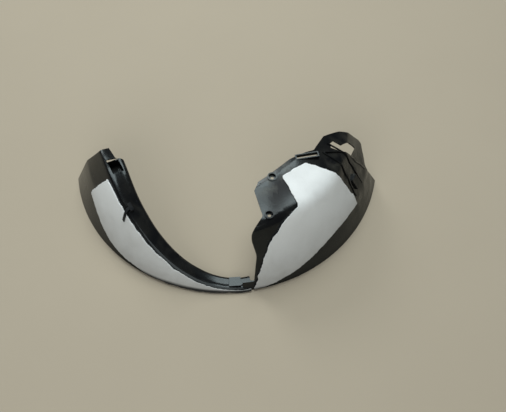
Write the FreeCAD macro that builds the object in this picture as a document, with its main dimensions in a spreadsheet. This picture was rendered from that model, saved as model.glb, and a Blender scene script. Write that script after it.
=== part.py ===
import FreeCAD
import Part
import Sketcher
import math
import os

# Inner mudguard of a car's front wheel arch. It lies on the edge that meets the wing, body side up.
# Sizes are in millimetres and degrees, about the wheel's axis, with the lip on the floor at height 0.
# Radii and heights of the moulding are those of the middle of its wall.

SIZES = (
    # Where the wheel's axis stands in the part's own frame.
    ("axis_x", 1.1, "wheel axis, to the right of the part's centre"),
    ("axis_y", 204.2, "wheel axis, behind the part's centre"),
    # Moulding
    ("wall", 2.5, "moulded wall"),
    ("lip_radius", 378, "lip at the wing's edge"),
    ("front_lip_set", 1, "how far the front panel's lip stands inside the crown's lip"),
    ("rear_round", 6, "rounding of the rear arm's ridge"),
    ("front_round", 18, "rounding of the front panel's ridge"),
    ("rim_round", 4, "rounding between the shelf's free edge and its turned-down rim"),
    ("rear_rim", 6, "drop of the rim at the shelf's free edge"),
    ("front_rim_round", 14, "rounding of the front panel's rolled-down rim"),
    ("front_rim", 20, "drop of the rim at the front panel's free edge"),
    # Rear arm, at its end
    ("rear_start", 186, "angle where the rear arm's wall begins"),
    ("rear_fall_start", 205, "angle where the rear arm begins to fall to the crown"),
    ("rear_fall_end", 275, "angle where it has fallen to the crown"),
    ("rear_skirt_in", 40, "lip to the crease between lower and upper wall, in plan"),
    ("rear_skirt_height", 104, "crease between lower and upper wall"),
    ("rear_ridge_in", 76, "lip to the ridge between wall and flange, in plan"),
    ("rear_ridge_height", 168, "ridge between wall and flange"),
    ("rear_flange", 31, "ridge to the bend between flange and shelf, in plan"),
    ("rear_flange_drop", 8, "ridge to the bend between flange and shelf, in height"),
    ("rear_shelf", 7, "bend to the free edge of the shelf, in plan"),
    ("rear_shelf_rise", 0, "free edge of the shelf above the bend"),
    # Crown, the narrow neck between the rear arm and the front panel
    ("crown_end", 279.5, "angle where the crown's shelf ends"),
    ("crown_skirt_in", 1, "lip to the crease between lower and upper wall, in plan"),
    ("crown_skirt_height", 5, "crease between lower and upper wall"),
    ("crown_ridge_in", 5, "lip to the ridge between wall and shelf, in plan"),
    ("crown_ridge_height", 12, "ridge between wall and shelf"),
    ("crown_flange", 7, "ridge to the bend between flange and shelf, in plan"),
    ("crown_flange_drop", 3, "ridge to the bend between flange and shelf, in height"),
    ("crown_shelf", 17, "bend to the free edge of the shelf, in plan"),
    ("crown_shelf_rise", 2, "free edge of the shelf above the bend"),
    # Front panel, at the step up from the crown, at its middle and at its end
    ("front_start", 276.5, "angle where the front panel begins"),
    ("front_middle", 311, "angle of the front panel's middle"),
    ("front_end", 357, "angle where the front panel's moulding ends"),
    ("step_skirt_in", 13, "lip to the crease between lower and upper wall, in plan"),
    ("step_skirt_height", 40, "crease between lower and upper wall"),
    ("step_ridge_in", 63, "lip to the ridge between wall and top panel, in plan"),
    ("step_ridge_height", 160, "ridge between wall and top panel"),
    ("step_panel", 89, "ridge to the free edge of the top panel, in plan"),
    ("step_edge_rise", 18, "free edge of the top panel above the ridge"),
    ("middle_skirt_in", 20.5, "lip to the crease between lower and upper wall, in plan"),
    ("middle_skirt_height", 60, "crease between lower and upper wall"),
    ("middle_ridge_in", 72, "lip to the ridge between wall and top panel, in plan"),
    ("middle_ridge_height", 178, "ridge between wall and top panel"),
    ("middle_panel", 102, "ridge to the free edge of the top panel, in plan"),
    ("middle_edge_rise", 19, "free edge of the top panel above the ridge"),
    ("end_skirt_in", 27, "lip to the crease between lower and upper wall, in plan"),
    ("end_skirt_height", 66, "crease between lower and upper wall"),
    ("end_ridge_in", 87, "lip to the ridge between wall and top panel, in plan"),
    ("end_ridge_height", 146, "ridge between wall and top panel"),
    ("end_panel", 54, "ridge to the free edge of the top panel, in plan"),
    ("end_edge_rise", 41, "free edge of the top panel above the ridge"),
    # Rear end of the arm, in plan: a slanted cut, and a tab past a small notch
    ("rear_cut_out_x", -378, "rear end at the lip"),
    ("rear_cut_out_y", -63, "rear end at the lip"),
    ("rear_cut_in_x", -287, "rear end at the notch beside the tab"),
    ("rear_cut_in_y", -101, "rear end at the notch beside the tab"),
    ("rear_tab_x", -267, "inner corner of the end tab"),
    ("rear_tab_y", -91, "inner corner of the end tab"),
    ("rear_root_x", -250, "where the flange widens past the tab"),
    ("rear_root_y", -118, "where the flange widens past the tab"),
    ("rear_stop_x", -160, "where the rear end's cut stops, clear of the flange"),
    # Free edge of the front panel, in plan, from the crown up
    ("neck_x", 74, "hollow above the crown"),
    ("neck_y", -334, "hollow above the crown"),
    ("bump_x", 61, "rounded bump at the ridge"),
    ("bump_y", -316, "rounded bump at the ridge"),
    ("notch_x", 87, "hollow beside the screw seat"),
    ("notch_y", -280, "hollow beside the screw seat"),
    ("spur_x", 68, "small spur at the inner corner"),
    ("spur_y", -222, "small spur at the inner corner"),
    ("free_edge_foot_x", 52, "where the free edge's cut begins outside the lip"),
    ("spur_root_x", 79, "where the spur meets the rolled rim"),
    ("spur_root_y", -195, "where the spur meets the rolled rim"),
    ("free_edge_stop_x", 15, "how far the free edge's cut reaches over the crown"),
    ("free_edge_stop_y", -150, "where the free edge's cut stops, past the spur"),
    ("free_edge_floor", 26, "height above which the free edge is cut"),
    # Front end and loop bracket, in plan
    ("front_cut_out_x", 372, "front end at the lip"),
    ("front_cut_out_y", -70, "front end at the lip"),
    ("bracket_out_x", 337, "root of the bracket's outer bar"),
    ("bracket_out_y", -86, "root of the bracket's outer bar"),
    ("bracket_far_x", 327, "far corner of the bracket, outer side"),
    ("bracket_far_y", -22, "far corner of the bracket, outer side"),
    ("bracket_top_x", 266, "far corner of the bracket, inner side"),
    ("bracket_top_y", -46, "far corner of the bracket, inner side"),
    ("bracket_near_x", 227, "first corner of the bracket's inner bar"),
    ("bracket_near_y", -75, "first corner of the bracket's inner bar"),
    ("bracket_in_x", 203, "root of the bracket's inner bar"),
    ("bracket_in_y", -116, "root of the bracket's inner bar"),
    ("front_cut_in_x", 150, "front end at the inner edge"),
    ("front_cut_in_y", -142, "front end at the inner edge"),
    ("loop_in_x", 241, "bracket's window, inner side"),
    ("loop_in_y", -91, "bracket's window, inner side"),
    ("loop_corner_x", 249, "its first far corner"),
    ("loop_corner_y", -81, "its first far corner"),
    ("tongue_x", 267, "tip of the tongue in it"),
    ("tongue_y", -88, "tip of the tongue in it"),
    ("loop_top_x", 286, "its far side past the tongue"),
    ("loop_top_y", -69, "its far side past the tongue"),
    ("loop_far_x", 306, "its last far corner"),
    ("loop_far_y", -63, "its last far corner"),
    ("loop_out_x", 294, "its outer corner at the root"),
    ("loop_out_y", -97, "its outer corner at the root"),
    ("loop_middle_x", 267, "its bend at the root"),
    ("loop_middle_y", -106, "its bend at the root"),
    ("loop_root_x", 244, "its inner corner at the root"),
    ("loop_root_y", -102, "its inner corner at the root"),
    # Moulded details of the front panel
    ("cut_clear", 60, "how far the trimming cuts reach past the moulding"),
    ("corner_round", 8, "rounded corners of the trimmed edges"),
    ("seat_x", 101, "screw seat beside the free edge"),
    ("seat_y", -277, "screw seat beside the free edge"),
    ("cup_angle", 299.615, "angle of the screw seat at the inner edge"),
    ("cup_edge", 12.72, "panel's free edge to that screw seat"),
    ("seat_rim_radius", 11, "outside of a screw seat"),
    ("seat_cup_radius", 8, "inside of a screw seat"),
    ("seat_hole_radius", 4, "screw hole"),
    ("seat_rise", 3, "seat's rim above the panel"),
    ("seat_depth", 6, "rim to the seat's floor"),
    ("seat_floor", 3, "floor of a screw seat"),
    ("channel_angle", 324.174, "angle of the channel near the front end"),
    ("channel_edge", 25.467, "panel's free edge to the channel's middle"),
    ("channel_turn", 12, "turn of the channel in plan"),
    ("channel_length", 48, "inside of the channel"),
    ("channel_width", 9, "inside of the channel"),
    ("channel_rise", 5, "the channel's rim above the panel"),
    ("rib_first", 332, "angle of the first end rib"),
    ("rib_pitch", 6.5, "angle between end ribs"),
    ("rib_thickness", 2.5, "end rib"),
    ("rib_rise", 4, "end rib above the wall's middle"),
    ("rib_foot", 76, "height where the end ribs begin"),
    ("rib_top_radius", 252, "radius where the end ribs run out"),
    ("root_in_x", 228, "rib along the bracket's root, inner end"),
    ("root_in_y", -119, "rib along the bracket's root, inner end"),
    ("root_out_x", 334, "rib along the bracket's root, outer end"),
    ("root_out_y", -89, "rib along the bracket's root, outer end"),
    ("root_rise", 6, "rib along the bracket's root, above the wall's middle"),
    ("block_angle", 335.2, "angle of the block on the end wall"),
    ("block_width", 19, "block on the end wall"),
    ("block_foot", 86, "height where the block begins"),
    ("block_top", 114, "height where the block ends"),
    ("block_rise", 7, "block above the wall's middle"),
    # Moulded details of the rear arm and crown
    ("recess_start", 205.5, "angle where the flange's recess begins"),
    ("recess_end", 213, "angle where the flange's recess ends"),
    ("recess_wall_turn", 0.6, "angle that each end wall of the recess covers"),
    ("recess_margin", 5, "flange left beside the recess"),
    ("recess_depth", 22, "flange to the recess floor"),
    ("pad_start", 271.8, "angle where the crown's raised pad begins"),
    ("pad_end", 276, "angle where the crown's raised pad ends"),
    ("pad_margin", 2, "ridge left beside the pad"),
    ("pad_rise", 4, "raised pad above the crown's ridge"),
    # Felt pads
    ("glue_gap", 0.5, "glue between felt and moulding"),
    ("felt", 4, "felt thickness"),
    ("rear_felt_low", 90, "lower edge of the rear felt at the arm's end"),
    ("crown_felt_low", 2, "lower edge of the rear felt at the crown"),
    ("rear_felt_inset", 10, "rear felt's upper edge below the ridge"),
    ("crown_felt_inset", 4, "rear felt's upper edge below the crown's ridge"),
    ("rear_felt_out_x", -345, "slanted upper end of the rear felt, outer side"),
    ("rear_felt_out_y", -150, "slanted upper end of the rear felt, outer side"),
    ("rear_felt_in_x", -240, "slanted upper end of the rear felt, inner side"),
    ("rear_felt_in_y", -177, "slanted upper end of the rear felt, inner side"),
    ("step_felt_low", 4, "lower edge of the front felt at the crown"),
    ("end_felt_low", 63, "lower edge of the front felt towards the front end"),
    ("felt_rise_start", 279, "angle where the front felt's lower edge begins to rise"),
    ("felt_rise_end", 321, "angle where the front felt's lower edge has risen"),
    ("felt_inner_radius", 216, "inner reach of the front felt"),
    ("felt_foot_x", 66, "front felt's outline in plan, at the lip beside the crown"),
    ("felt_wall_x", 98, "its bend on the wall"),
    ("felt_wall_y", -325, "its bend on the wall"),
    ("felt_ridge_x", 165, "its inner corner at the ridge"),
    ("felt_ridge_y", -257, "its inner corner at the ridge"),
    ("felt_inner_x", 130, "its inner corner on the panel"),
    ("felt_inner_y", -190, "its inner corner on the panel"),
    ("felt_top_x", 182, "its top corner on the panel"),
    ("felt_top_y", -153, "its top corner on the panel"),
    ("felt_side_x", 244, "its bend over the ridge towards the front end"),
    ("felt_side_y", -169, "its bend over the ridge towards the front end"),
    ("felt_end_x", 302, "its lower corner towards the front end"),
    ("felt_end_y", -173, "its lower corner towards the front end"),
    # Harness clip over the rear ridge
    ("clip_angle", 228, "where the clip sits"),
    ("clip_strap", 2.5, "thickness of the clip's strap"),
    ("clip_bar_turn", 1.5, "half the angle that the clip's foot covers"),
    ("clip_loop_turn", 0.5, "half the angle that the clip's hook covers"),
    ("clip_foot", 11, "length of the foot on the flange"),
    ("clip_hook", 22, "length of the hook below the ridge"),
)

doc = FreeCAD.newDocument("wheel_arch_mudguard")
sheet = doc.addObject("Spreadsheet::Sheet", "Sizes")
for row, (alias, value, note) in enumerate(SIZES, 1):
    sheet.set(f"A{row}", note)
    sheet.set(f"B{row}", str(value))
    sheet.setAlias(f"B{row}", alias)
doc.recompute()


# Lengths are weighted sums of sizes, so that each can be both worked out and bound to the sheet.

def just(alias, weight=1):
    return {alias: weight}


def total(*lengths):
    added = {}
    for length in lengths:
        for alias, weight in length.items():
            added[alias] = added.get(alias, 0) + weight
    return added


def number(length):
    return sum(weight * sheet.get(alias) for alias, weight in length.items())


def words(length):
    return " + ".join(f"({weight:.6f}) * Sizes.{alias}" for alias, weight in length.items())


def blend(weights, what):
    return {f"{key}_{what}": weight for key, weight in weights.items()}


def inward(outside, weights, *insets):
    return total(outside, *({f"{key}_{what}": -weight for key, weight in weights.items()} for what in insets))


# Sketches

def origin_plane(body, role):
    return next(plane for plane in body.Origin.OriginFeatures if plane.Role == role)


def radial_sketch(body, name, angle):
    sketch = body.newObject("Sketcher::SketchObject", name)
    sketch.AttachmentSupport = (origin_plane(body, "XZ_Plane"), [""])
    sketch.MapMode = "FlatFace"
    turn = FreeCAD.Rotation(FreeCAD.Vector(0, 1, 0), number(angle))
    sketch.AttachmentOffset = FreeCAD.Placement(FreeCAD.Vector(), turn)
    sketch.setExpression("AttachmentOffset.Rotation.Angle", words(angle))
    return sketch


def hold(sketch, kind, *where):
    return sketch.addConstraint(Sketcher.Constraint(kind, *where))


def bind(sketch, kind, where, length):
    held = hold(sketch, kind, *where, number(length))
    sketch.setExpression(f"Constraints[{held}]", words(length))


def offset_corners(corners, distance):
    # Corners of a line of straight runs, moved to its right by a distance.
    runs = [(after - before).normalize() for before, after in zip(corners, corners[1:])]
    sides = [FreeCAD.Vector(run.y, -run.x) for run in runs]
    moved = [corners[0] + sides[0] * distance]
    for corner, side, after in zip(corners[1:], sides, sides[1:]):
        moved.append(corner + (side + after) * (distance / (1 + side.dot(after))))
    moved.append(corners[-1] + sides[-1] * distance)
    return moved


def add_line(sketch, start, stop, guide=False):
    return sketch.addGeometry(Part.LineSegment(start, stop), guide)


SMALL_ROUND = 5


def flats_at(rounding):
    # How many flats a rounded corner of a thin section has.
    return 1 if number(rounding) < SMALL_ROUND else 2


def add_flats(sketch, before, after, arc, stops):
    # Equal flats from one run to the next, with their corners on a guide arc that touches both runs.
    flats = [add_line(sketch, first, last) for first, last in zip(stops, stops[1:])]
    hold(sketch, "Tangent", before, 2, arc, 1)
    hold(sketch, "Tangent", arc, 2, after, 1)
    hold(sketch, "Coincident", before, 2, flats[0], 1)
    hold(sketch, "Coincident", flats[-1], 2, after, 1)
    for first, last in zip(flats, flats[1:]):
        hold(sketch, "Coincident", first, 2, last, 1)
        hold(sketch, "PointOnObject", first, 2, arc)
        hold(sketch, "Equal", first, last)


def add_face(sketch, guides, corners, points, away):
    # One face of a thin section: straight runs beside the guide lines, with flats at each rounded corner.
    moved = offset_corners(points, number(away))
    lines, rounded = [], {}
    start = moved[0]
    for place, corner in enumerate(moved[1:], 1):
        rounding = corners[place][2]
        if not rounding or place == len(moved) - 1:
            lines.append(add_line(sketch, start, corner))
            start = corner
            continue
        radius = number(rounding) + number(away)
        run_in = (corner - moved[place - 1]).normalize()
        run_out = (moved[place + 1] - corner).normalize()
        turn = run_in.getAngle(run_out)
        back = radius * math.tan(turn / 2)
        centre = corner - run_in * back + FreeCAD.Vector(-run_in.y, run_in.x) * radius
        first = math.atan2(-run_in.x, run_in.y)
        lines.append(add_line(sketch, start, corner - run_in * back))
        circle = Part.Circle(centre, FreeCAD.Vector(0, 0, 1), radius)
        arc = sketch.addGeometry(Part.ArcOfCircle(circle, first, first + turn), True)
        bind(sketch, "Radius", (arc,), total(rounding, away))
        flats = flats_at(rounding)
        rounded[place] = (arc, [circle.value(first + turn * share / flats) for share in range(flats + 1)])
        start = corner + run_out * back
    for place, (before, after) in enumerate(zip(lines, lines[1:]), 1):
        if place in rounded:
            add_flats(sketch, before, after, *rounded[place])
        else:
            hold(sketch, "Coincident", before, 2, after, 1)
    apart = away if number(away) > 0 else {alias: -weight for alias, weight in away.items()}
    for line, guide in zip(lines, guides):
        hold(sketch, "Parallel", line, guide)
        bind(sketch, "Distance", (line, 2, guide), apart)
    return lines


def add_outline(sketch, corners):
    # A closed outline of straight runs, with a rounding at the corners that have one.
    points = [FreeCAD.Vector(number(x), number(y)) for x, y, _ in corners]
    starts, stops, arcs = list(points), list(points), {}
    for place, (_, _, rounding) in enumerate(corners):
        if not rounding:
            continue
        here, after = points[place], points[(place + 1) % len(points)]
        run_in = (here - points[place - 1]).normalize()
        run_out = (after - here).normalize()
        radius = number(rounding)
        back = radius * math.tan(run_in.getAngle(run_out) / 2)
        stops[place] = here - run_in * back
        starts[place] = here + run_out * back
        left = run_in.x * run_out.y > run_in.y * run_out.x
        centre = stops[place] + FreeCAD.Vector(-run_in.y, run_in.x) * (radius if left else -radius)
        ends = [stops[place] - centre, starts[place] - centre]
        angles = [math.atan2(end.y, end.x) for end in (ends if left else reversed(ends))]
        circle = Part.Circle(centre, FreeCAD.Vector(0, 0, 1), radius)
        arcs[place] = (Part.ArcOfCircle(circle, *angles), left)
    lines = [add_line(sketch, start, stops[(place + 1) % len(points)]) for place, start in enumerate(starts)]
    for place, (x, y, rounding) in enumerate(corners):
        before, after = lines[place - 1], lines[place]
        if place in arcs:
            shape, left = arcs[place]
            arc = sketch.addGeometry(shape)
            corner = sketch.addGeometry(Part.Point(points[place]), True)
            hold(sketch, "PointOnObject", corner, 1, before)
            hold(sketch, "PointOnObject", corner, 1, after)
            hold(sketch, "Tangent", before, 2, arc, 1 if left else 2)
            hold(sketch, "Tangent", arc, 2 if left else 1, after, 1)
            bind(sketch, "Radius", (arc,), rounding)
            fixed = (corner, 1)
        else:
            hold(sketch, "Coincident", before, 2, after, 1)
            fixed = (after, 1)
        bind(sketch, "DistanceX", (-1, 1, *fixed), x)
        bind(sketch, "DistanceY", (-1, 1, *fixed), y)


def plan_sketch(body, name, height):
    sketch = body.newObject("Sketcher::SketchObject", name)
    sketch.AttachmentSupport = (origin_plane(body, "XY_Plane"), [""])
    sketch.MapMode = "FlatFace"
    sketch.AttachmentOffset = FreeCAD.Placement(FreeCAD.Vector(0, 0, number(height)), FreeCAD.Rotation())
    sketch.setExpression("AttachmentOffset.Base.z", words(height))
    return sketch


def plan_circles(body, name, height, x, y, *radii):
    sketch = plan_sketch(body, name, height)
    for radius in radii:
        centre = FreeCAD.Vector(number(x), number(y))
        circle = sketch.addGeometry(Part.Circle(centre, FreeCAD.Vector(0, 0, 1), number(radius)))
        bind(sketch, "DistanceX", (-1, 1, circle, 3), x)
        bind(sketch, "DistanceY", (-1, 1, circle, 3), y)
        bind(sketch, "Radius", (circle,), radius)
    return sketch


def pad(body, name, sketch, length, symmetric=False):
    made = body.newObject("PartDesign::Pad", name)
    made.Profile = sketch
    made.setExpression("Length", words(length))
    made.SideType = "Symmetric" if symmetric else "One side"
    return made


def pocket(body, name, sketch, depth=None):
    # A cut straight down from a plan sketch, right through unless a depth is given.
    made = body.newObject("PartDesign::Pocket", name)
    made.Profile = sketch
    if depth is None:
        made.Type = "ThroughAll"
    else:
        made.setExpression("Length", words(depth))
    return made


def reach(first, last, limit):
    # The place on the line through two points that a limit on its height or radius gives.
    axis = 0 if limit[0] == "DistanceX" else 1
    return first + (last - first) * ((number(limit[1]) - first[axis]) / (last[axis] - first[axis]))


def section(body, name, angle, corners, faces, start=None, stop=None):
    # A thin closed section on the radial plane at an angle, between two faces beside the line of corners.
    # It begins on the floor and ends at the last corner, unless start or stop says at which height or radius.
    sketch = radial_sketch(body, name, angle)
    points = [FreeCAD.Vector(number(radius), number(height)) for radius, height, _ in corners]
    guides = [add_line(sketch, first, last, True) for first, last in zip(points, points[1:])]
    for before, after in zip(guides, guides[1:]):
        hold(sketch, "Coincident", before, 2, after, 1)
    for (guide, end), (radius, height, _) in zip([(guides[0], 1)] + [(guide, 2) for guide in guides], corners):
        bind(sketch, "DistanceX", (-1, 1, guide, end), radius)
        if height:
            bind(sketch, "DistanceY", (-1, 1, guide, end), height)
        else:
            hold(sketch, "PointOnObject", guide, end, -1)
    ends = list(points)
    if start:
        ends[0] = reach(points[0], points[1], start)
    if stop:
        ends[-1] = reach(points[-2], points[-1], stop)
    inner, outer = [add_face(sketch, guides, corners, ends, away) for away in faces]
    foot = add_line(sketch, sketch.Geometry[inner[0]].StartPoint, sketch.Geometry[outer[0]].StartPoint)
    edge = add_line(sketch, sketch.Geometry[inner[-1]].EndPoint, sketch.Geometry[outer[-1]].EndPoint)
    for cap, lines, end in ((foot, (inner[0], outer[0]), 1), (edge, (inner[-1], outer[-1]), 2)):
        hold(sketch, "Coincident", cap, 1, lines[0], end)
        hold(sketch, "Coincident", cap, 2, lines[1], end)
    if start is None:
        hold(sketch, "PointOnObject", foot, 1, -1)
        hold(sketch, "PointOnObject", foot, 2, -1)
    else:
        hold(sketch, "Perpendicular", foot, guides[0])
        bind(sketch, start[0], (-1, 1, foot, 1), start[1])
    hold(sketch, "Perpendicular", edge, guides[-1])
    if stop is None:
        hold(sketch, "PointOnObject", guides[-1], 2, edge)
    else:
        bind(sketch, stop[0], (-1, 1, edge, 1), stop[1])
    return sketch


def loft(body, name, sketches):
    made = body.newObject("PartDesign::AdditiveLoft", name)
    made.Profile = (sketches[0], [""])
    made.Sections = [(sketch, [""]) for sketch in sketches[1:]]
    return made


def new_body(label):
    body = doc.addObject("PartDesign::Body", label)
    body.Label = label
    body.setExpression("Placement.Base.x", "Sizes.axis_x")
    body.setExpression("Placement.Base.y", "Sizes.axis_y")
    return body


# Shape of the moulding

REAR_SECTIONS = 9
FRONT_SECTIONS = 7
WALL_FACES = (just("wall", -0.5), just("wall", 0.5))
FELT_UNDER = total(just("wall", 0.5), just("glue_gap"))
FELT_FACES = (FELT_UNDER, total(FELT_UNDER, just("felt")))


def between(first, last, share):
    return total(just(first, 1 - share), just(last, share))


def rear_angle(step):
    return between("rear_start", "crown_end", step / (REAR_SECTIONS - 1))


def front_angle(step):
    return between("front_start", "front_end", step / (FRONT_SECTIONS - 1))


def rear_fall(here):
    # How far the rear arm has fallen towards the crown at an angle, from 0 to 1.
    first, last = sheet.get("rear_fall_start"), sheet.get("rear_fall_end")
    return min(max((here - first) / (last - first), 0), 1)


def rim_corners(radius, height, rounding, drop):
    # The free edge, and the end of the rim that turns down from it.
    rim = (total(radius, just("wall", -1)), total(height, just(drop, -1)), None)
    return (radius, height, just(rounding)), rim


def rear_corners(here):
    # Lip, crease, ridge, bend, free edge and rim of the rear arm, which falls smoothly to the crown.
    fall = rear_fall(here)
    smooth = fall * fall * (3 - 2 * fall)
    early = 1 - (1 - fall) ** 2
    skirt = {"rear": 1 - early, "crown": early}
    ridge = {"rear": 1 - smooth, "crown": smooth}
    lip = just("lip_radius")
    bend = total(blend(ridge, "ridge_height"), {f"{key}_flange_drop": -weight for key, weight in ridge.items()})
    return (
        (lip, {}, None),
        (inward(lip, skirt, "skirt_in"), blend(skirt, "skirt_height"), None),
        (inward(lip, ridge, "ridge_in"), blend(ridge, "ridge_height"), just("rear_round")),
        (inward(lip, ridge, "ridge_in", "flange"), bend, None),
        *rim_corners(inward(lip, ridge, "ridge_in", "flange", "shelf"), total(bend, blend(ridge, "shelf_rise")),
                     "rim_round", "rear_rim"),
    )


def front_weights(here):
    # A smooth curve through the front panel's step, middle and end.
    first, middle, last = (sheet.get(name) for name in ("front_start", "front_middle", "front_end"))
    return {
        "step": (here - middle) * (here - last) / ((first - middle) * (first - last)),
        "middle": (here - first) * (here - last) / ((middle - first) * (middle - last)),
        "end": (here - first) * (here - middle) / ((last - first) * (last - middle)),
    }


def front_corners(here):
    # Lip, crease, ridge, free edge and rolled-down rim of the front panel.
    weights = front_weights(here)
    lip = total(just("lip_radius"), just("front_lip_set", -1))
    ridge = blend(weights, "ridge_height")
    return (
        (lip, {}, None),
        (inward(lip, weights, "skirt_in"), blend(weights, "skirt_height"), None),
        (inward(lip, weights, "ridge_in"), ridge, just("front_round")),
        *rim_corners(inward(lip, weights, "ridge_in", "panel"), total(ridge, blend(weights, "edge_rise")),
                     "front_rim_round", "front_rim"),
    )


def front_height(x, y):
    # Height of the front panel's wall or top at a place in plan.
    radius = math.hypot(number(x), number(y))
    here = math.degrees(math.atan2(number(y), number(x))) % 360
    corners = front_corners(here)
    low, high = corners[2:4] if radius < number(corners[2][0]) else corners[1:3]
    share = (number(low[0]) - radius) / (number(low[0]) - number(high[0]))
    return total({alias: weight * (1 - share) for alias, weight in low[1].items()},
                 {alias: weight * share for alias, weight in high[1].items()})


def polar(radius, here):
    # A place in plan at a radius and an angle.
    turn = math.radians(here)
    return ({alias: weight * math.cos(turn) for alias, weight in radius.items()},
            {alias: weight * math.sin(turn) for alias, weight in radius.items()})


def beside_edge(name):
    # A place on the front panel at an angle, at a distance from the panel's free edge.
    here = sheet.get(f"{name}_angle")
    edge_radius = front_corners(here)[3][0]
    return polar(total(edge_radius, just(f"{name}_edge")), here)


def spot(name, rounding=None):
    return (just(f"{name}_x"), just(f"{name}_y"), rounding)


ABOVE = total(just("middle_ridge_height"), just("middle_edge_rise"), just("cut_clear"))
OUTSIDE = total(just("lip_radius"), just("cut_clear"))
ROUND = just("corner_round")


def plan_cut(body, name, corners, keep_inside=False, depth=None):
    sketch = plan_sketch(body, f"{name}_outline", ABOVE)
    if keep_inside:
        far = {alias: weight * 2 for alias, weight in OUTSIDE.items()}
        back = {alias: -weight for alias, weight in far.items()}
        add_outline(sketch, [(back, back, None), (far, back, None), (far, far, None), (back, far, None)])
    add_outline(sketch, corners)
    pocket(body, name, sketch, depth)


# Shell: the moulding

shell = new_body("shell")
rear = [section(shell, f"rear_section_{step}", rear_angle(step), rear_corners(number(rear_angle(step))),
                WALL_FACES) for step in range(REAR_SECTIONS)]
loft(shell, "rear_arm", rear)
front = [section(shell, f"front_section_{step}", front_angle(step), front_corners(number(front_angle(step))),
                 WALL_FACES) for step in range(FRONT_SECTIONS)]
loft(shell, "front_panel", front)

MINUS_OUTSIDE = {alias: -weight for alias, weight in OUTSIDE.items()}
plan_cut(shell, "rear_end_cut", [
    (MINUS_OUTSIDE, just("rear_cut_out_y"), None), spot("rear_cut_out"), spot("rear_cut_in", ROUND),
    spot("rear_tab"), spot("rear_root"), (just("rear_stop_x"), just("rear_root_y"), None),
    (just("rear_stop_x"), just("cut_clear"), None), (MINUS_OUTSIDE, just("cut_clear"), None)])
plan_cut(shell, "free_edge_cut", [
    (just("free_edge_foot_x"), MINUS_OUTSIDE, None), spot("neck", ROUND), spot("bump", ROUND),
    spot("notch", ROUND), spot("spur"), spot("spur_root"), spot("free_edge_stop"),
    (just("free_edge_stop_x"), MINUS_OUTSIDE, None)],
    depth=total(ABOVE, just("free_edge_floor", -1)))
plan_cut(shell, "front_end_cut", [
    (OUTSIDE, just("front_cut_out_y"), None), (OUTSIDE, OUTSIDE, None), (just("cut_clear"), OUTSIDE, None),
    (just("cut_clear"), just("front_cut_in_y"), None), spot("front_cut_in"), spot("bracket_in", ROUND),
    spot("bracket_near", ROUND), spot("bracket_top", ROUND), spot("bracket_far", ROUND),
    spot("bracket_out", ROUND), spot("front_cut_out")])


# Bracket window, with a pointed tongue from its far bar

plan_cut(shell, "bracket_window", [
    spot("loop_in"), spot("loop_corner"), spot("tongue"), spot("loop_top"), spot("loop_far"), spot("loop_out"),
    spot("loop_middle"), spot("loop_root")])


# Screw seats: a round cup with a rim, a floor and a hole

def screw_seat(name, x, y):
    rim = total(front_height(x, y), just("seat_rise"))
    base = total(rim, just("seat_depth", -1), just("seat_floor", -1))
    pad(shell, f"{name}_boss", plan_circles(shell, f"{name}_boss_outline", base, x, y, just("seat_rim_radius")),
        total(just("seat_depth"), just("seat_floor")))
    above = total(rim, just("seat_depth"))
    cup = plan_circles(shell, f"{name}_cup_outline", above, x, y, just("seat_cup_radius"))
    pocket(shell, f"{name}_cup", cup, just("seat_depth", 2))
    hole = plan_circles(shell, f"{name}_hole_outline", rim, x, y, just("seat_hole_radius"))
    pocket(shell, f"{name}_hole", hole, total(just("seat_depth", 2), just("seat_floor")))


screw_seat("seat", just("seat_x"), just("seat_y"))
screw_seat("cup", *beside_edge("cup"))


# Channel near the front end: a slot with a raised rim

def slot_corners(grow):
    turn = math.radians(sheet.get("channel_turn"))
    corners = []
    for along, across in ((-1, -1), (1, -1), (1, 1), (-1, 1)):
        x, y = beside_edge("channel")
        half_length = total(just("channel_length", along / 2), {a: w * along for a, w in grow.items()})
        half_width = total(just("channel_width", across / 2), {a: w * across for a, w in grow.items()})
        for length, cosine, sine in ((half_length, math.cos(turn), math.sin(turn)),
                                     (half_width, -math.sin(turn), math.cos(turn))):
            x = total(x, {alias: weight * cosine for alias, weight in length.items()})
            y = total(y, {alias: weight * sine for alias, weight in length.items()})
        corners.append((x, y, None))
    return corners


channel_height = front_height(*beside_edge("channel"))
rim = plan_sketch(shell, "channel_rim_outline", total(channel_height, just("channel_rise", -1)))
add_outline(rim, slot_corners(just("wall")))
pad(shell, "channel_rim", rim, just("channel_rise", 2))
plan_cut(shell, "channel_slot", slot_corners({}))


# Ribs across the front end's wall

RIBS = 2
RIB_ROOT = just("wall", 0.1)  # just outside the wall's middle, so that the root lies in the wall
for place in range(RIBS):
    angle = total(just("rib_first"), just("rib_pitch", place))
    rib = section(shell, f"rib_section_{place}", angle, front_corners(number(angle))[1:4],
                  (RIB_ROOT, just("rib_rise")),
                  ("DistanceY", just("rib_foot")), ("DistanceX", just("rib_top_radius")))
    pad(shell, f"rib_{place}", rib, just("rib_thickness"), True)
block_angle = just("block_angle")
block = section(shell, "block_section", block_angle, front_corners(number(block_angle))[1:3],
                (RIB_ROOT, just("block_rise")),
                ("DistanceY", just("block_foot")), ("DistanceY", just("block_top")))
pad(shell, "end_block", block, just("block_width"), True)


# Rib along the bracket's root, on an upright plane through its two ends

ROOT_STEPS = 4


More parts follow.
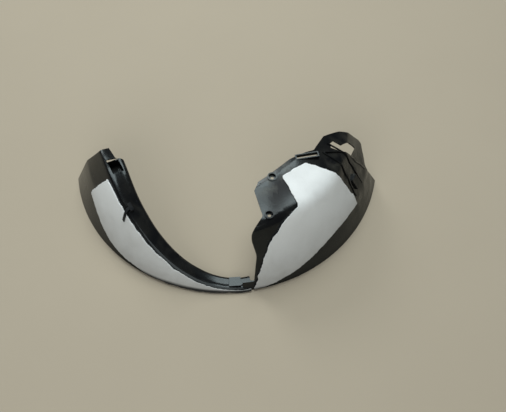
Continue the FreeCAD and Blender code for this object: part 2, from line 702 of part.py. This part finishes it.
def upright_sketch(body, name, first, last):
    # A sketch on the upright plane through two places in plan, with the first one's place along it
    # and the distance between the two.
    run = FreeCAD.Vector(number(last[0]) - number(first[0]), number(last[1]) - number(first[1]))
    turn = math.atan2(run.y, run.x)
    start = number(first[0]) * math.cos(turn) + number(first[1]) * math.sin(turn)
    off = number(first[1]) * math.cos(turn) - number(first[0]) * math.sin(turn)
    sketch = body.newObject("Sketcher::SketchObject", name)
    sketch.AttachmentSupport = (origin_plane(body, "XZ_Plane"), [""])
    sketch.MapMode = "FlatFace"
    sketch.AttachmentOffset = FreeCAD.Placement(
        FreeCAD.Vector(-off * math.sin(turn), 0, -off * math.cos(turn)),
        FreeCAD.Rotation(FreeCAD.Vector(0, 1, 0), math.degrees(turn)))
    return sketch, start, run.Length


def along_root(share):
    return between("root_in_x", "root_out_x", share), between("root_in_y", "root_out_y", share)


root_sketch, root_start, root_length = upright_sketch(shell, "root_rib_outline", along_root(0), along_root(1))
shares = [step / (ROOT_STEPS - 1) for step in range(ROOT_STEPS)]
lows = [number(front_height(*along_root(share))) for share in shares]
rib_points = [FreeCAD.Vector(root_start + root_length * share, low) for share, low in zip(shares, lows)]
rib_points += [point + FreeCAD.Vector(0, sheet.get("root_rise")) for point in reversed(rib_points)]
rib_ends = zip(rib_points, rib_points[1:] + rib_points[:1])
root_lines = [add_line(root_sketch, point, after) for point, after in rib_ends]
for before, after in zip(root_lines[-1:] + root_lines, root_lines):
    hold(root_sketch, "Coincident", before, 2, after, 1)
    hold(root_sketch, "Block", after)
pad(shell, "root_rib", root_sketch, just("rib_thickness"), True)


# Recess in the rear flange: a tray below it, open at the top

def ring_part(first, last, inner, outer):
    # Four corners in plan between two angles and two radii.
    return [(*polar(radius, number(angle)), None)
            for angle, radius in ((first, outer), (last, outer), (last, inner), (first, inner))]


def recess_corners(margin, turn):
    ridge, _, edge, _ = rear_corners(sheet.get("recess_end"))[2:]
    inner = total(edge[0], just("recess_margin"), {alias: -weight for alias, weight in margin.items()})
    outer = total(ridge[0], just("rear_round", -1), margin)
    first = total(just("recess_start"), {alias: -weight for alias, weight in turn.items()})
    return ring_part(first, total(just("recess_end"), turn), inner, outer)


tray_top = rear_corners(sheet.get("recess_end"))[4][1]
tray = plan_sketch(shell, "recess_tray_outline", total(tray_top, just("recess_depth", -1)))
add_outline(tray, recess_corners(just("wall"), just("recess_wall_turn")))
pad(shell, "recess_tray", tray, just("recess_depth"))
hollow = plan_sketch(shell, "recess_outline", total(tray_top, just("recess_depth")))
add_outline(hollow, recess_corners({}, {}))
pocket(shell, "recess", hollow, total(just("recess_depth", 2), just("wall", -1)))


# Crown: a raised pad on its shelf

CROWN = {"crown": 1}
SHELF_EDGE = inward(just("lip_radius"), CROWN, "ridge_in", "flange", "shelf")
SHELF_OUTER = total(inward(just("lip_radius"), CROWN, "ridge_in"), just("pad_margin", -1))
CROWN_BEND = total(just("crown_ridge_height"), just("crown_flange_drop", -1))
raised = plan_sketch(shell, "crown_pad_outline", CROWN_BEND)
add_outline(raised, ring_part(just("pad_start"), just("pad_end"), SHELF_EDGE, SHELF_OUTER))
pad(shell, "crown_pad", raised, total(just("crown_flange_drop"), just("pad_rise")))


# Rear felt, glued on the arm's wall from its end to the crown

felt_rear = new_body("felt_rear")
rear_felt = []
for step in range(REAR_SECTIONS):
    angle = rear_angle(step)
    corners = rear_corners(number(angle))[:3]
    low = (1 - rear_fall(number(angle))) ** 4
    inset = {alias.replace("ridge_height", "felt_inset"): -weight for alias, weight in corners[2][1].items()}
    rear_felt.append(section(
        felt_rear, f"felt_section_{step}", angle, corners, FELT_FACES,
        start=("DistanceY", blend({"rear": low, "crown": 1 - low}, "felt_low")),
        stop=("DistanceY", total(corners[2][1], inset))))
loft(felt_rear, "rear_felt_pad", rear_felt)
plan_cut(felt_rear, "rear_felt_end", [
    spot("rear_felt_out"), spot("rear_felt_in"), (just("rear_felt_in_x"), just("cut_clear"), None),
    (MINUS_OUTSIDE, just("cut_clear"), None), (MINUS_OUTSIDE, just("rear_felt_out_y"), None)])


# Front felt, glued on the front panel's wall and over its ridge

def felt_low(here):
    # Height of the front felt's lower edge, which rises smoothly from the crown.
    first, last = sheet.get("felt_rise_start"), sheet.get("felt_rise_end")
    rise = min(max((here - first) / (last - first), 0), 1)
    return between("step_felt_low", "end_felt_low", rise * rise * (3 - 2 * rise))


felt_front = new_body("felt_front")
front_felt = []
for step in range(FRONT_SECTIONS - 1):
    angle = front_angle(step)
    here = number(angle)
    front_felt.append(section(
        felt_front, f"felt_section_{step}", angle, front_corners(here)[:4], FELT_FACES,
        start=("DistanceY", felt_low(here)), stop=("DistanceX", just("felt_inner_radius"))))
loft(felt_front, "front_felt_pad", front_felt)
plan_cut(felt_front, "front_felt_outline", [
    (just("felt_foot_x"), MINUS_OUTSIDE, None), (OUTSIDE, MINUS_OUTSIDE, None),
    (OUTSIDE, just("felt_ridge_y"), None), spot("felt_end", ROUND), spot("felt_side", ROUND),
    spot("felt_top", ROUND), spot("felt_inner"), spot("felt_ridge", ROUND), spot("felt_wall", ROUND),
    (just("felt_foot_x"), just("lip_radius", -1), None)], keep_inside=True)


# Harness clip: a foot on the flange, and a strap that hooks over the ridge and the felt

harness_clip = new_body("harness_clip")
STRAP_UNDER = total(FELT_FACES[1], just("glue_gap"))
STRAP_OVER = total(STRAP_UNDER, just("clip_strap"))
foot, strap = [], []
for side in (-1, 1):
    angle = total(just("clip_angle"), just("clip_loop_turn", side))
    corners = rear_corners(number(angle))[1:4]
    ridge_radius, ridge_height, _ = corners[1]
    strap.append(section(harness_clip, f"strap_section_{side + 1}", angle, corners, (STRAP_UNDER, STRAP_OVER),
                         ("DistanceY", total(ridge_height, just("clip_hook", -1))),
                         ("DistanceX", total(ridge_radius, just("clip_foot", -1)))))
    angle = total(just("clip_angle"), just("clip_bar_turn", side))
    corners = rear_corners(number(angle))[2:4]
    ridge_radius = corners[0][0]
    foot.append(section(harness_clip, f"foot_section_{side + 1}", angle, corners, (FELT_UNDER, STRAP_OVER),
                        ("DistanceX", total(ridge_radius, just("rear_round", -0.5))),
                        ("DistanceX", total(ridge_radius, just("clip_foot", -1)))))
loft(harness_clip, "strap", strap)
loft(harness_clip, "foot", foot)


# Check every object, then write each piece

doc.recompute()
for made in doc.Objects:
    if "Invalid" in made.State or "Error" in made.State:
        raise RuntimeError(f"{made.Name} failed: {made.State}")

os.makedirs("parts", exist_ok=True)
for body in (shell, felt_rear, felt_front, harness_clip):
    if body.Shape.isNull() or not body.Shape.isValid():
        raise RuntimeError(f"{body.Label} has no valid shape")
    box = body.Shape.optimalBoundingBox()
    print(body.Label, len(body.Shape.Solids), "solids", round(body.Shape.Volume), "mm3", box)
    body.Shape.exportStep(f"parts/{body.Label}.step")
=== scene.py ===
import bmesh
import bpy
import math
import numpy
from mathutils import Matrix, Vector, noise
from mathutils.bvhtree import BVHTree


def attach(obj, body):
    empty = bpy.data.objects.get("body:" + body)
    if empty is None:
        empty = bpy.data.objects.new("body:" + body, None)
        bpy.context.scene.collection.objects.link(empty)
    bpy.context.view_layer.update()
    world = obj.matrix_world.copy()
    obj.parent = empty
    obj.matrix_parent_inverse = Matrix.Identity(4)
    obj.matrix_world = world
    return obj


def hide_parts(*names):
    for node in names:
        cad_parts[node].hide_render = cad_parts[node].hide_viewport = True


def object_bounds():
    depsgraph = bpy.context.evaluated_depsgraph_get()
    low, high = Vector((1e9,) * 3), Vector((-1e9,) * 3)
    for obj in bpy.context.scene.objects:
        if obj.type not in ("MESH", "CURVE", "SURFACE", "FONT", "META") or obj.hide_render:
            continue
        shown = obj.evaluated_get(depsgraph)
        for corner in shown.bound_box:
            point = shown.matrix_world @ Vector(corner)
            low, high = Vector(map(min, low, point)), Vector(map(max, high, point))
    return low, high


# Inner mudguard of a car's wheel arch: a glossy black moulding with two glued felt pads and a harness clip.
# Everything is in metres, in the CAD model's frame.

NOISE_SEED = 7

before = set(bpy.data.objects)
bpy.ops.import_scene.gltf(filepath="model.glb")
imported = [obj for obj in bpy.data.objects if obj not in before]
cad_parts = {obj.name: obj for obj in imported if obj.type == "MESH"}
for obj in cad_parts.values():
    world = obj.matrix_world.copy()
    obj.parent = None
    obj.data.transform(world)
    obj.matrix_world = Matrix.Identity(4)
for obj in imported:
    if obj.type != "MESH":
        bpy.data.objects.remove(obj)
cad_box = [list(corner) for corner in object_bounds()]
noise.seed_set(NOISE_SEED)


# Places on the part

AXIS = Vector((0.0011, 0.2042, 0))              # the wheel's axis, as in the part's source
RIM = Vector((0.105, 0.02, 0.18))               # rolled rim beside the inner screw seat
END_WALL = Vector((0.31, 0.07, 0.10))           # crumpled wall below the loop bracket
PANEL_CORNER = Vector((0.166, -0.053, 0.178))   # where the front panel falls to its ridge beside the felt
SEATS = (                                       # the two screw seats and the clip's foot, kept as drawn
    Vector((0.1021, -0.0728, 0.171)),
    Vector((0.1091, 0.0142, 0.188)),
    Vector((-0.214, -0.034, 0.13)))


# Shape of the moulding

MERGE = 0.00001                   # the CAD mesh's loose corners join within this distance
SMOOTH_ANGLE = math.radians(33)   # sharper edges stay sharp
SHELL_EDGE = 0.012                # edges longer than this are halved
SPLITS = 3                        # how many times over
FLAT_BELOW = 0.012                # the lip stays as drawn up to this height, and is free at twice that
SEAT_CLEAR = 0.014                # the same about each seat, as a distance
WAVE = 0.0012                     # reach of the thin wall's slow waves
WAVE_SCALE = 14
WAVE_SEED = 5.3
CRUMPLE = 0.0022                  # reach of the front end's crumpling
CRUMPLE_SCALE = 48
CRUMPLE_SEED = 2.1
CRUMPLE_FULL = 0.05               # full up to this distance from the end wall
CRUMPLE_FADE = 0.07               # and gone this much further out


# Shape of the felt

FELT_VOXEL = 0.0016
GLUE = 0.0005         # least gap to the moulding
WANDER = 0.0022       # how far the hand-cut edges wander
WANDER_SCALE = 55
NICK = 0.0014         # smaller nicks in the same edges
NICK_SCALE = 150
SWELL = 0.16          # share by which the thickness varies
SWELL_SCALE = 30
OUTER_SIDE = 0.6      # least cosine between an outer face's normal and the way out from the moulding
SOFTENINGS = 160      # rounds of averaging the outer side's normals


# Node helpers

NOISE_SPAN = (0.3, 0.7)   # nearly all of a noise texture's values


def add_node(tree, kind, inputs=None, **settings):
    made = tree.nodes.new(kind)
    for name, value in settings.items():
        setattr(made, name, value)
    for name, value in (inputs or {}).items():
        if isinstance(value, bpy.types.NodeSocket):
            tree.links.new(value, made.inputs[name])
        else:
            made.inputs[name].default_value = value
    return made


def map_range(tree, value, low, high, start=0.0, stop=1.0, **settings):
    made = add_node(tree, "ShaderNodeMapRange", {
        "Value": value, "From Min": low, "From Max": high, "To Min": start, "To Max": stop}, **settings)
    return made.outputs["Result"]


def multiply(tree, first, second):
    return add_node(tree, "ShaderNodeMath", {0: first, 1: second}, operation="MULTIPLY").outputs[0]


def plus(tree, first, second):
    return add_node(tree, "ShaderNodeMath", {0: first, 1: second}, operation="ADD").outputs[0]


def apart(tree, first, second):
    made = add_node(tree, "ShaderNodeVectorMath", {0: first, 1: second}, operation="DISTANCE")
    return made.outputs["Value"]


def z_part(tree, vector):
    return add_node(tree, "ShaderNodeSeparateXYZ", {0: vector}).outputs["Z"]


def mix_colours(tree, share, first, second):
    made = add_node(tree, "ShaderNodeMix", {0: share, 6: first, 7: second}, data_type="RGBA")
    return made.outputs[2]


def cloud(tree, coords, scale, detail=2.0, distortion=0.0):
    made = add_node(tree, "ShaderNodeTexNoise", {
        "Vector": coords, "Scale": scale, "Detail": detail, "Distortion": distortion})
    return made.outputs["Fac"]


def near(tree, coords, place, full, none):
    # 1 within a distance of a place, falling to 0 further out.
    away = apart(tree, coords, place)
    return map_range(tree, away, full, none, 1.0, 0.0, interpolation_type="SMOOTHSTEP")


def bare_material(name):
    material = bpy.data.materials.new(name)
    material.use_nodes = True
    tree = material.node_tree
    shader = next(made for made in tree.nodes if made.type == "BSDF_PRINCIPLED")
    coords = add_node(tree, "ShaderNodeTexCoord").outputs["Object"]
    return material, tree, shader, coords


def set_values(shader, values):
    for name, value in values.items():
        shader.inputs[name].default_value = value


def set_bump(tree, shader, height, strength, distance):
    bump = add_node(tree, "ShaderNodeBump", {"Height": height, "Strength": strength, "Distance": distance})
    tree.links.new(bump.outputs["Normal"], shader.inputs["Normal"])


def new_group(name, inputs, outputs):
    # A shader node group, with the node that brings its inputs and the one that takes its outputs.
    tree = bpy.data.node_groups.new(name, "ShaderNodeTree")
    for socket, kind in inputs:
        tree.interface.new_socket(socket, in_out="INPUT", socket_type=kind)
    for socket, kind in outputs:
        tree.interface.new_socket(socket, in_out="OUTPUT", socket_type=kind)
    return tree, add_node(tree, "NodeGroupInput").outputs, add_node(tree, "NodeGroupOutput").inputs


# Shared effect: what handling, moulding and dust leave on the plastic

SCRATCH_TURN = (0.3, 0.2, 0.9)
SCRATCH_STRETCH = (30, 420, 420)
SCRATCH_SPAN = (0.62, 0.72)   # noise values over which a scratch begins
DUST_SPAN = (0.42, 0.75)      # noise values over which a patch of dust thickens
UPWARD_SPAN = (-0.1, 0.8)     # how far up a face looks, from no dust to full dust
DUST_ROUGHNESS = 0.5
SCRATCH_ROUGHNESS = 0.1
GRAIN_ROUGHNESS = 0.02
RIPPLE_HEIGHT = 0.35
GRAIN_HEIGHT = 0.004


def moulding_marks():
    tree, given, taken = new_group(
        "moulding_marks",
        (("Coords", "NodeSocketVector"), ("Dust", "NodeSocketFloat"), ("Crumple", "NodeSocketFloat")),
        (("Dusty", "NodeSocketFloat"), ("Rough", "NodeSocketFloat"), ("Height", "NodeSocketFloat")))
    coords = given["Coords"]
    wave = cloud(tree, coords, scale=11, detail=1.2)
    ripple = cloud(tree, coords, scale=75, detail=3, distortion=0.8)
    grain = cloud(tree, coords, scale=900, detail=2)
    patches = cloud(tree, coords, scale=24, detail=6, distortion=0.7)
    stretched = add_node(tree, "ShaderNodeMapping", {
        "Vector": coords, "Rotation": SCRATCH_TURN, "Scale": SCRATCH_STRETCH}).outputs["Vector"]
    scratches = map_range(tree, cloud(tree, stretched, scale=1, detail=3), *SCRATCH_SPAN)
    facing = z_part(tree, add_node(tree, "ShaderNodeNewGeometry").outputs["Normal"])
    settled = multiply(tree, map_range(tree, patches, *DUST_SPAN), map_range(tree, facing, *UPWARD_SPAN))
    dusty = multiply(tree, settled, given["Dust"])
    tree.links.new(dusty, taken["Dusty"])
    rough = plus(
        tree, multiply(tree, dusty, DUST_ROUGHNESS), multiply(tree, scratches, SCRATCH_ROUGHNESS))
    uneven = map_range(tree, grain, *NOISE_SPAN, -GRAIN_ROUGHNESS, GRAIN_ROUGHNESS)
    tree.links.new(plus(tree, rough, uneven), taken["Rough"])
    crumpled = multiply(tree, multiply(tree, ripple, given["Crumple"]), RIPPLE_HEIGHT)
    height = plus(tree, wave, crumpled)
    tree.links.new(plus(tree, height, multiply(tree, grain, GRAIN_HEIGHT)), taken["Height"])
    return tree


marks = moulding_marks()


# Plastic

def moulded_plastic(name, black, dust_colour, dust, crumple, sag, gloss, wave):
    # Glossy black moulding with uneven reflections. Dust, crumple and sag are functions of the place.
    material, tree, shader, coords = bare_material(name)
    marked = add_node(tree, "ShaderNodeGroup", node_tree=marks)
    effects = (("Coords", coords), ("Dust", dust(tree, coords)), ("Crumple", crumple(tree, coords)))
    for socket, made in effects:
        tree.links.new(made, marked.inputs[socket])
    colour = mix_colours(tree, marked.outputs["Dusty"], black, dust_colour)
    tree.links.new(colour, shader.inputs["Base Color"])
    tree.links.new(plus(tree, marked.outputs["Rough"], gloss), shader.inputs["Roughness"])
    set_values(shader, {
        "Specular IOR Level": 0.26, "Specular Tint": (0.84, 0.97, 1, 1),
        "Coat Weight": 0.12, "Coat Roughness": 0.1})
    height = plus(tree, marked.outputs["Height"], sag(tree, coords))
    set_bump(tree, shader, height, strength=0.4, distance=wave)
    return material


RIM_DUST = 0.4        # most dust on the rim
END_DUST = 0.3        # most dust on the end wall
THIN_DUST = 0.06      # dust all over
PANEL_SAG = -5.0
THIN_CRUMPLE = 0.05   # crumple all over
CLIP_SAG = 0.2


def shell_dust(tree, coords):
    rim = multiply(tree, near(tree, coords, RIM, full=0.02, none=0.07), RIM_DUST)
    end = multiply(tree, near(tree, coords, END_WALL, full=0.06, none=0.13), END_DUST)
    return plus(tree, plus(tree, rim, end), THIN_DUST)


def shell_sag(tree, coords):
    return multiply(tree, near(tree, coords, PANEL_CORNER, full=0.01, none=0.1), PANEL_SAG)


def shell_crumple(tree, coords):
    return plus(tree, near(tree, coords, END_WALL, full=0.05, none=0.12), THIN_CRUMPLE)


def clip_dust(tree, coords):
    return map_range(tree, cloud(tree, coords, scale=90), *NOISE_SPAN, start=0.05, stop=0.3)


def clip_crumple(tree, coords):
    return map_range(tree, cloud(tree, coords, scale=60), *NOISE_SPAN, start=0, stop=0.1)


def clip_sag(tree, coords):
    return multiply(tree, cloud(tree, coords, scale=40), CLIP_SAG)


black_plastic = moulded_plastic(
    "black_plastic", black=(0.0045, 0.0047, 0.0053, 1), dust_colour=(0.17, 0.165, 0.13, 1),
    dust=shell_dust, crumple=shell_crumple, sag=shell_sag, gloss=0.2, wave=0.006)
clip_plastic = moulded_plastic(
    "clip_plastic", black=(0.006, 0.0065, 0.008, 1), dust_colour=(0.12, 0.12, 0.115, 1),
    dust=clip_dust, crumple=clip_crumple, sag=clip_sag, gloss=0.36, wave=0.001)


# Felt

FELT_SPAN = (0.35, 0.7)       # noise values over which the felt goes from pale to grey
MOTTLE_SHADE = (0, 0.7)
FIBRE_SHADE = (-0.1, 0.3)
FELT_ROUGHNESS = (0.88, 1.0)
TUFT_HEIGHT = 1.5
IN_PLAN = (1, 1, 0)
# Painted shade: the felt's colour is made darker towards the bottom.
PAINTED_SHADE_FROM = 0.01              # height with the most painted shade
PAINTED_SHADE_TO = 0.15                # height with none
PAINTED_SHADE_MOST = 0.85
PAINTED_SHADE_WANDER = 0.02            # how far those heights wander
# Painted contact shadow: a dark band on the felt beside the lip.
LIP_SHADOW_FROM = 0.3788             # radius about the wheel's axis, beside the lip, where the painted contact shadow begins
LIP_SHADOW_TO = 0.3812
LIP_SHADOW_COLOUR = (0.02, 0.02, 0.019, 1)


def pressed_felt(name, pale, grey, shade_grey):
    # Pressed felt: short tangled fibres, soft mottling and a slight sheen.
    # Its colour is painted darker towards the lip as painted shade, with a painted contact shadow along the
    # lip.
    material, tree, shader, coords = bare_material(name)
    fibres = cloud(tree, coords, scale=900, detail=4, distortion=1.6)
    tufts = cloud(tree, coords, scale=210, detail=3, distortion=0.8)
    mottle = cloud(tree, coords, scale=26, detail=5, distortion=0.4)
    mottle_shade = map_range(tree, mottle, *FELT_SPAN, *MOTTLE_SHADE)
    fibre_shade = map_range(tree, fibres, *FELT_SPAN, *FIBRE_SHADE)
    unshaded = mix_colours(tree, plus(tree, mottle_shade, fibre_shade), pale, grey)
    wandering = map_range(tree, mottle, *NOISE_SPAN, -PAINTED_SHADE_WANDER, PAINTED_SHADE_WANDER)
    uneven = plus(tree, z_part(tree, coords), wandering)
    # painted shade: the felt is darker towards the bottom
    painted_shade = map_range(tree, uneven, PAINTED_SHADE_FROM, PAINTED_SHADE_TO, start=PAINTED_SHADE_MOST, stop=0)
    shaded = mix_colours(tree, painted_shade, unshaded, shade_grey)
    in_plan = add_node(tree, "ShaderNodeVectorMath", {0: coords, 1: IN_PLAN}, operation="MULTIPLY").outputs[0]
    # painted contact shadow: the felt is dark along the lip
    lip_shadow = map_range(tree, apart(tree, in_plan, AXIS), LIP_SHADOW_FROM, LIP_SHADOW_TO)
    tree.links.new(mix_colours(tree, lip_shadow, shaded, LIP_SHADOW_COLOUR), shader.inputs["Base Color"])
    tree.links.new(map_range(tree, tufts, *NOISE_SPAN, *FELT_ROUGHNESS), shader.inputs["Roughness"])
    set_values(shader, {"Specular IOR Level": 0.2, "Sheen Weight": 0.15, "Sheen Roughness": 0.5})
    height = plus(tree, fibres, multiply(tree, tufts, TUFT_HEIGHT))
    set_bump(tree, shader, height, strength=0.35, distance=0.0008)
    return material


# The third colour is the grey of the painted shade.
white_felt = pressed_felt(
    "white_felt", pale=(0.80, 0.83, 0.825, 1), grey=(0.70, 0.725, 0.72, 1), shade_grey=(0.36, 0.36, 0.345, 1))


# Mesh helpers

def clamp(value, low=0, high=1):
    return min(max(value, low), high)


def merged_copy(node, name):
    # A CAD node's mesh as a piece of its own, with its loose triangles joined.
    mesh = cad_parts[node].data.copy()
    mesh.name = name
    mesh.materials.clear()
    if "custom_normal" in mesh.attributes:
        mesh.attributes.remove(mesh.attributes["custom_normal"])
    shape = bmesh.new()
    shape.from_mesh(mesh)
    bmesh.ops.remove_doubles(shape, verts=shape.verts, dist=MERGE)
    bmesh.ops.recalc_face_normals(shape, faces=shape.faces)
    for face in shape.faces:
        face.smooth = True
    for edge in shape.edges:
        edge.smooth = edge.calc_face_angle(0) < SMOOTH_ANGLE
    shape.to_mesh(mesh)
    shape.free()
    piece = bpy.data.objects.new(name, mesh)
    bpy.context.collection.objects.link(piece)
    return piece


def settle(piece):
    # The piece's mesh with its modifiers applied.
    bpy.context.view_layer.update()
    graph = bpy.context.evaluated_depsgraph_get()
    old = piece.data
    piece.data = bpy.data.meshes.new_from_object(piece.evaluated_get(graph))
    piece.modifiers.clear()
    bpy.data.meshes.remove(old)


def surface(piece):
    # A search tree of the piece's surface as it is now.
    shape = bmesh.new()
    shape.from_mesh(piece.data)
    tree = BVHTree.FromBMesh(shape)
    shape.free()
    return tree


def tangled(place, scale, seed):
    return noise.noise_vector(place * scale + Vector((seed, 2 * seed, 3 * seed)))


def hand_in(piece, material, node):
    piece.data.materials.clear()
    piece.data.materials.append(material)
    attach(piece, "root")
    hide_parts(node)


# Shell

def split_long_edges(piece, longest):
    # Cuts a mesh's long edges in half, a few times over.
    shape = bmesh.new()
    shape.from_mesh(piece.data)
    for _ in range(SPLITS):
        long_edges = [edge for edge in shape.edges if edge.calc_length() > longest]
        bmesh.ops.subdivide_edges(shape, edges=long_edges, cuts=1)
        bmesh.ops.triangulate(shape, faces=[face for face in shape.faces if len(face.verts) > 3])
    shape.to_mesh(piece.data)
    shape.free()


def warp(place):
    # How far a place on the moulding is off its drawn shape: a thin wall's slow waves, and a front end
    # that is crumpled.
    free = clamp((place.z - FLAT_BELOW) / FLAT_BELOW)
    for seat in SEATS:
        free *= clamp((place - seat).length / SEAT_CLEAR - 1)
    crumpled = clamp(1 - ((place - END_WALL).length - CRUMPLE_FULL) / CRUMPLE_FADE)
    slow = tangled(place, WAVE_SCALE, WAVE_SEED) * WAVE
    return (slow + tangled(place, CRUMPLE_SCALE, CRUMPLE_SEED) * CRUMPLE * crumpled) * free


shell = merged_copy("shell", "shell_moulding")
drawn = surface(shell)
split_long_edges(shell, SHELL_EDGE)
for vert in shell.data.vertices:
    warped = vert.co + warp(vert.co)
    vert.co = [clamp(value, low, high) for value, low, high in zip(warped, *cad_box)]
under = surface(shell)
hand_in(shell, black_plastic, "shell")


# Felt pads

def soften(pad):
    # Felt bends over a ridge in a soft curve: its outer side's normals are averaged along the surface.
    mesh = pad.data
    ends = numpy.empty(2 * len(mesh.edges), dtype=int)
    mesh.edges.foreach_get("vertices", ends)
    first, last = ends.reshape(-1, 2).T
    normals = numpy.array([vert.normal for vert in mesh.vertices])
    outward = numpy.array([(vert.co - under.find_nearest(vert.co)[0]).normalized() for vert in mesh.vertices])
    outer = (numpy.einsum("ij,ij->i", normals, outward) > OUTER_SIDE).astype(float)[:, None]
    soft = normals * outer
    for _ in range(SOFTENINGS):
        spread, weight = soft.copy(), outer.copy()
        for here, there in ((first, last), (last, first)):
            numpy.add.at(spread, here, soft[there])
            numpy.add.at(weight, here, outer[there])
        soft = spread / numpy.maximum(weight, 1) * outer
    soft = numpy.where(outer > 0, soft, normals)
    mesh.normals_split_custom_set_from_vertices(soft / numpy.linalg.norm(soft, axis=1)[:, None])


def felt_pad(node, name, seed):
    # The CAD pad as soft felt: hand-cut edges that wander in the surface, and an uneven thickness.
    pad = merged_copy(node, name)
    remesh = pad.modifiers.new("even", "REMESH")
    remesh.mode = "VOXEL"
    remesh.voxel_size = FELT_VOXEL
    settle(pad)
    for vert in pad.data.vertices:
        base, _, _, gap = drawn.find_nearest(vert.co)
        up = (vert.co - base).normalized()
        wander = tangled(vert.co, WANDER_SCALE, seed) * WANDER + tangled(vert.co, NICK_SCALE, seed) * NICK
        moved = vert.co + wander - up * wander.dot(up)
        base = under.find_nearest(moved)[0]
        up = (moved - base).normalized()
        swell = 1 + SWELL * noise.noise(vert.co * SWELL_SCALE + Vector((seed, 0, 0)))
        vert.co = base + up * max(gap * swell, GLUE)
    pad.data.shade_smooth()
    soften(pad)
    return pad


felt_rear = felt_pad("felt_rear", "rear_felt_pad", seed=3.7)
hand_in(felt_rear, white_felt, "felt_rear")
felt_front = felt_pad("felt_front", "front_felt_pad", seed=8.1)
hand_in(felt_front, white_felt, "felt_front")


# Harness clip

clip = merged_copy("harness_clip", "harness_clip_strap")
hand_in(clip, clip_plastic, "harness_clip")


# Floor

FLOOR_HALF = 6


def pale_floor(name, light, dark):
    material, tree, shader, coords = bare_material(name)
    colour = mix_colours(tree, cloud(tree, coords, scale=3, detail=3), light, dark)
    tree.links.new(colour, shader.inputs["Base Color"])
    set_values(shader, {"Roughness": 0.9, "Specular IOR Level": 0.2})
    return material


floor_mesh = bpy.data.meshes.new("floor")
floor_mesh.from_pydata([(-FLOOR_HALF, -FLOOR_HALF, 0), (FLOOR_HALF, -FLOOR_HALF, 0),
                        (FLOOR_HALF, FLOOR_HALF, 0), (-FLOOR_HALF, FLOOR_HALF, 0)], [], [(0, 1, 2, 3)])
floor = bpy.data.objects.new("floor", floor_mesh)
floor_grey = pale_floor("floor_grey", light=(0.418, 0.368, 0.286, 1), dark=(0.397, 0.348, 0.270, 1))
floor.data.materials.append(floor_grey)
bpy.context.collection.objects.link(floor)


# Light

def soft_light(name, place, aim, side, watts, colour):
    data = bpy.data.lights.new(name, "AREA")
    data.shape = "SQUARE"
    data.size = side
    data.energy = watts
    data.color = colour
    light = bpy.data.objects.new(name, data)
    light.location = place
    light.rotation_euler = (Vector(aim) - light.location).to_track_quat("-Z", "Y").to_euler()
    bpy.context.collection.objects.link(light)


soft_light("overhead", place=(0.1, 1.1, 3.1), aim=(0.05, 0, 0), side=2.0, watts=84, colour=(0.94, 1, 1))
soft_light("back_left", place=(-1.8, 3.2, 2.9), aim=(0.05, 0, 0), side=1.6, watts=62, colour=(0.97, 1, 1))
soft_light("front_fill", place=(-0.7, -2.9, 1.6), aim=(0.05, -0.05, 0.1), side=2.8, watts=50,
           colour=(0.98, 1, 1))

world = bpy.data.worlds.new("studio")
bpy.context.scene.world = world
world.use_nodes = True
background = next(made for made in world.node_tree.nodes if made.type == "BACKGROUND")
set_values(background, {"Color": (0.95, 0.98, 1.0, 1), "Strength": 0.1})


# Camera, matched to the photo

SENSOR = 36
PHOTO_WIDTH = 506
FOCAL_PIXELS = 735
EYE_DISTANCE = 1.806
ELEVATION = math.radians(58)
AIM = Vector((0.0667, 0.0582, 0))
camera_data = bpy.data.cameras.new("camera")
camera_data.sensor_width = SENSOR
camera_data.lens = SENSOR * FOCAL_PIXELS / PHOTO_WIDTH
camera = bpy.data.objects.new("camera", camera_data)
camera.location = AIM + Vector((0, -math.cos(ELEVATION), math.sin(ELEVATION))) * EYE_DISTANCE
camera.rotation_euler = (math.pi / 2 - ELEVATION, 0, 0)
bpy.context.collection.objects.link(camera)
bpy.context.scene.camera = camera
bpy.context.scene.view_settings.view_transform = "Standard"
